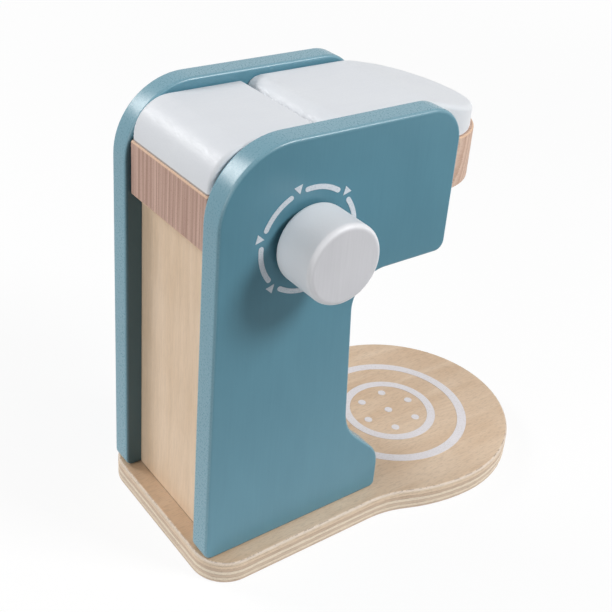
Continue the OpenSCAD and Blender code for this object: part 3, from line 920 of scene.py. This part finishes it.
class SubAssembly(ABC):
    """Solids that belong together and are finished together."""

    @abstractmethod
    def finishes(self) -> dict[str, Finish]:
        """Names the finish of each solid, in the order of the work."""

    def build(self) -> None:
        """Dresses the solids; those with the same finish share one material."""
        materials: dict[Finish, bpy.types.Material] = {}
        for node, finish in self.finishes().items():
            if finish not in materials:
                materials[finish] = finish.material()
            dress(node, materials[finish])


@dataclass(frozen=True)
class Board(SubAssembly):
    """The plywood base with its printed tray and its screws.

    Its top is painted darker and browner towards the rear, from the distance given below: painted shade
    of the panels.
    """

    thickness_mm: float = 12.0
    # Where the painted shade of the panels starts on the base's top, towards the rear
    shaded_from_mm: float = 92.0

    def finishes(self) -> dict[str, Finish]:
        """Names the finishes of the base, its prints and its screws."""
        ink = PrintedInk("pad_print_tray", "#e9e6ea", "#d8d3d2")
        return {
            "base_board": BirchPlywood("birch_plywood_base", Axis.Z, Axis.Y, Axis.X, 0.0,
                                       self.thickness_mm, rear_shade_mm=self.shaded_from_mm),
            "tray_rings": ink,
            "tray_dots": ink,
            "base_screws": ZincPlatedSteel("zinc_plated_screws"),
        }


@dataclass(frozen=True)
class Column(SubAssembly):
    """The two painted side panels and the two thin panels between them.

    The painted contact shade where they stand on the base reaches seam_mm and foot_line_mm above it.
    The painted shade between the side panels reaches inner_slack_mm past their inner faces.
    """

    ply_mm: float = 6.0
    base_mm: float = 12.0
    inner_face_mm: float = 31.0
    inner_slack_mm: float = 0.25
    arm_top_mm: float = 184.0
    seam_mm: float = 0.8
    foot_line_mm: float = 0.4

    def thin_panel(self, node: str) -> BirchPlywood:
        """Gives the plywood of one thin panel, which stands in the base.

        Args:
            node: The panel's name in the frame.

        Returns:
            Its finish.
        """
        return BirchPlywood(f"birch_plywood_{node}", Axis.Y, Axis.Z, Axis.X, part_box(node)[0][1] / MM,
                            self.ply_mm, pale="#ead1b6", warm="#dfc4a6", dash_cover=0.05,
                            veneer_tones=("#d6bfa2", "#bd9f7f", "#dcc6a6", "#bb9c7c", "#d6bfa2"),
                            foot_shade_mm=self.base_mm + self.foot_line_mm)

    def finishes(self) -> dict[str, Finish]:
        """Names the finishes of the panels and of the printed dial."""
        # Painted shade darkens the teal in the bay behind the back panel; the edges get a painted
        # highlight and the foot a painted contact shade
        shade_behind_back_panel = RecessShade(self.inner_face_mm + self.inner_slack_mm, "#364548",
                                   top_mm=self.arm_top_mm, front_mm=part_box("back_panel")[1][1] / MM)
        teal = SatinEnamel("satin_enamel_teal", "#5f92a4", "#598b9d", "#8db4c1", Axis.Z,
                           roughness=0.3, grain_depth_mm=0.008, peel_depth_mm=0.01, shine_spread=0.05,
                           arris_cover=0.2, edge_highlight_cover=0.36, recess=shade_behind_back_panel,
                           seam=ContactShade(self.base_mm + self.seam_mm))
        ink = PrintedInk("pad_print_dial", "#d9dfe6", "#bccbd3")
        return {
            "knob_side_panel": teal,
            "far_side_panel": teal,
            "back_panel": self.thin_panel("back_panel"),
            "front_panel": self.thin_panel("front_panel"),
            "dial_arcs": ink,
            "dial_pointers": ink,
        }


@dataclass(frozen=True)
class Arm(SubAssembly):
    """The beech rail with the fixed block, the lid and the spout.

    The pith of the rail's tree lies far outside it, so its rings are nearly straight. The rail's rear
    end gets a painted shade line for the gap to the side panels, from rail_side_mm outwards, and the
    block a painted contact shade line under it, seam_mm high.
    """

    rail_pith_mm: Point = (-260.0, 0.0, 190.0)
    dowel_pith_mm: Point = (0.0, -80.0, 120.0)
    rail_side_mm: float = 30.4
    rail_top_mm: float = 186.3
    seam_mm: float = 0.4

    def finishes(self) -> dict[str, Finish]:
        """Names the finishes of the wood, the white parts and the pins."""
        dowel = SteamedBeech("steamed_beech_dowels", Axis.X, self.dowel_pith_mm)
        white = SatinEnamel("satin_enamel_white", "#e4e7eb", "#dfe2e7", "#e9ecef", Axis.Y,
                            roughness=0.45, grain_depth_mm=0.008, peel_depth_mm=0.03, shine_spread=0.13)
        steel = ZincPlatedSteel("zinc_plated_pins")
        return {
            "arm_rail": SteamedBeech("steamed_beech_rail", Axis.Y, self.rail_pith_mm, self.rail_side_mm),
            "arm_dowels_knob_side": dowel,
            "arm_dowels_far_side": dowel,
            "rear_block_dowels": dowel,
            # Painted contact shade along the foot of the block, where it sits on the rail
            "rear_block": replace(white, name="satin_enamel_block",
                                  seam=ContactShade(self.rail_top_mm + self.seam_mm, "#806653", 0.2)),
            "lid": white,
            "spout_nozzle": white,
            "lid_pin_knob_side": steel,
            "lid_pin_far_side": steel,
        }


@dataclass(frozen=True)
class Knob(SubAssembly):
    """The turning knob with its shaft, collar and felt washer.

    The painted shade of the gap behind the knob reaches shaded_mm out from the panel's face.
    """

    panel_face_mm: float = 44.0
    shaded_mm: float = 0.95
    shaft_pith_mm: Point = (0.0, 20.0, 120.0)

    def finishes(self) -> dict[str, Finish]:
        """Names the finishes of the knob and its inner parts."""
        beech = SteamedBeech("steamed_beech_shaft", Axis.X, self.shaft_pith_mm)
        return {
            # Painted light on the knob: its sides get a strong painted highlight, and its rim next to the
            # panel a painted shade
            "knob": SatinEnamel("satin_enamel_knob", "#dddde1", "#d4d4d8", "#f4f5f8", Axis.Z,
                                roughness=0.42, grain_depth_mm=0.05, edge_highlight_cover=0.85,
                                recess=RecessShade(self.panel_face_mm + self.shaded_mm, "#24292b")),
            "knob_shaft": beech,
            "shaft_collar": beech,
            "knob_washer": WoolFelt("wool_felt"),
        }


@dataclass(frozen=True)
class Softbox:
    """A square area light that looks at the object and stays out of the picture."""

    name: str
    toward: Point
    distance: float
    size: float
    watts: float
    aim: Point = (0.0, 0.02, 0.1)

    def build(self) -> None:
        """Adds the light to the scene."""
        data = bpy.data.lights.new(self.name, "AREA")
        data.shape = "SQUARE"
        data.size = self.size
        data.energy = self.watts
        light = bpy.data.objects.new(self.name, data)
        back = Vector(self.toward).normalized()
        light.location = Vector(self.aim) + back * self.distance
        light.rotation_euler = back.to_track_quat("Z", "Y").to_euler()
        light.visible_camera = False
        bpy.context.scene.collection.objects.link(light)


@dataclass(frozen=True)
class Studio:
    """The camera, the soft lights, the white surroundings and the floor.

    Lengths are in metres from the middle of the toy's underside. The floor throws light back as a
    near sheet under the toy and a darker far sheet around it. In the toy's sheen it fades out on
    the knob's side, from mirror_near_x to mirror_far_x, as the unlit end of a studio does.
    """

    eye: Point = (-0.333908, 0.292251, 0.363683)
    azimuth: float = 141.6760
    elevation: float = 28.0026
    roll: float = 4.8657
    lens_mm: float = 62.33
    sensor_mm: float = 36.0
    shift_y: float = -0.116
    soft_level: float = 0.08
    soft_colour: str = "#f4f7fb"
    floor_half: float = 3.0
    floor_glow: float = 0.9
    glow_reach: Span = (0.5, 1.2)
    near_sheet: str = "#e6e6e6"
    far_sheet: str = "#808080"
    sheet_reach: Span = (0.18, 0.5)
    mirror_near_x: float = -0.06
    mirror_far_x: float = -0.26
    mirror_far: float = 0.05
    softboxes: tuple[Softbox, ...] = (
        Softbox("key_softbox", (-0.62, -0.42, 0.66), 1.6, 0.5, 18.0),
        Softbox("rear_softbox", (0.69, 0.47, 0.55), 1.5, 0.5, 10.5),
        Softbox("fill_softbox", (-0.08, 0.93, 0.38), 2.0, 1.4, 16.0),
        Softbox("low_reflector", (-0.7, -0.68, 0.12), 0.6, 0.45, 0.7, (-0.04, 0.0, 0.03)),
    )

    def add_camera(self) -> None:
        """Places the camera where the photograph was taken from."""
        azimuth, elevation, roll = (math.radians(a) for a in (self.azimuth, self.elevation, self.roll))
        back = Vector((math.cos(elevation) * math.cos(azimuth),
                       math.cos(elevation) * math.sin(azimuth), math.sin(elevation)))
        level = Vector((-math.sin(azimuth), math.cos(azimuth), 0.0))
        right = level * math.cos(roll) + back.cross(level) * math.sin(roll)
        turn = Matrix((right, back.cross(right), back)).transposed().to_4x4()
        data = bpy.data.cameras.new("camera")
        data.lens = self.lens_mm
        data.sensor_width = self.sensor_mm
        data.shift_y = self.shift_y
        camera = bpy.data.objects.new("camera", data)
        camera.matrix_world = Matrix.Translation(self.eye) @ turn
        bpy.context.scene.collection.objects.link(camera)
        bpy.context.scene.camera = camera

    @staticmethod
    def ray(tree: Tree, kind: Ray) -> Socket:
        """Gives 1 for rays of one kind."""
        return add_node(tree, "ShaderNodeLightPath").outputs[kind.value]

    def seen_or_mirrored(self, tree: Tree) -> Socket:
        """Gives 1 for rays that show a surface directly, in a mirror or through glass."""
        first = calculate(tree, "MAXIMUM", self.ray(tree, Ray.CAMERA), self.ray(tree, Ray.GLOSSY))
        return calculate(tree, "MAXIMUM", first, self.ray(tree, Ray.TRANSMISSION))

    def floor_shader(self, tree: Tree) -> Socket:
        """Mixes paper that keeps the toy's shadow with a glow that keeps the floor white.

        Args:
            tree: The floor's node tree.

        Returns:
            The shader.
        """
        place = add_node(tree, "ShaderNodeTexCoord").outputs["Object"]
        reach = add_node(tree, "ShaderNodeVectorMath", {0: place}, operation="LENGTH").outputs["Value"]
        bounce = blend(tree, remap(tree, reach, self.sheet_reach), self.near_sheet, self.far_sheet)
        sheet = blend(tree, self.ray(tree, Ray.CAMERA), bounce, WHITE)
        paper = add_node(tree, "ShaderNodeBsdfDiffuse", {"Color": sheet})
        mirrored = remap(tree, coordinate(tree, place, Axis.X), (self.mirror_far_x, self.mirror_near_x),
                         (self.mirror_far, 1.0))
        level = calculate(tree, "MAXIMUM", mirrored, self.ray(tree, Ray.CAMERA))
        glow = add_node(tree, "ShaderNodeEmission", {"Color": linear(WHITE), "Strength": level})
        amount = product(tree, self.seen_or_mirrored(tree),
                         remap(tree, reach, self.glow_reach, (self.floor_glow, 1.0)))
        mixed = add_node(tree, "ShaderNodeMixShader",
                         {"Fac": amount, 1: paper.outputs["BSDF"], 2: glow.outputs["Emission"]})
        return mixed.outputs["Shader"]

    def add_floor(self) -> None:
        """Adds the white floor, which keeps a faint shadow where the camera sees it."""
        half = self.floor_half
        mesh = bpy.data.meshes.new("floor")
        corners = [(-half, -half, 0.0), (half, -half, 0.0), (half, half, 0.0), (-half, half, 0.0)]
        mesh.from_pydata(corners, [], [(0, 1, 2, 3)])
        floor = bpy.data.objects.new("floor", mesh)
        bpy.context.scene.collection.objects.link(floor)
        material, tree = new_material("matt_white_floor")
        add_node(tree, "ShaderNodeOutputMaterial", {"Surface": self.floor_shader(tree)})
        mesh.materials.append(material)

    def add_world(self) -> None:
        """Gives an even white surrounding: plain soft light on the object, white behind it."""
        world = bpy.data.worlds.new("white_room")
        world.use_nodes = True
        tree = world.node_tree
        tree.nodes.clear()
        soft = add_node(tree, "ShaderNodeBackground",
                        {"Color": linear(self.soft_colour), "Strength": self.soft_level})
        white = add_node(tree, "ShaderNodeBackground", {"Color": linear(WHITE), "Strength": 1.0})
        mixed = add_node(tree, "ShaderNodeMixShader",
                         {"Fac": self.seen_or_mirrored(tree), 1: soft.outputs["Background"],
                          2: white.outputs["Background"]})
        add_node(tree, "ShaderNodeOutputWorld", {"Surface": mixed.outputs["Shader"]})
        bpy.context.scene.world = world

    def build(self) -> None:
        """Sets up the whole studio."""
        bpy.context.scene.view_settings.view_transform = "Standard"
        self.add_camera()
        self.add_floor()
        self.add_world()
        for softbox in self.softboxes:
            softbox.build()
        LOG.info("studio ready with %d softboxes", len(self.softboxes))


def main() -> None:
    """Builds the studio and every sub-assembly in order."""
    logging.basicConfig(level=logging.INFO, format="%(name)s: %(message)s")
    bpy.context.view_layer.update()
    for part in (Studio(), Board(), Column(), Arm(), Knob()):
        part.build()


if __name__ == "__main__":
    main()
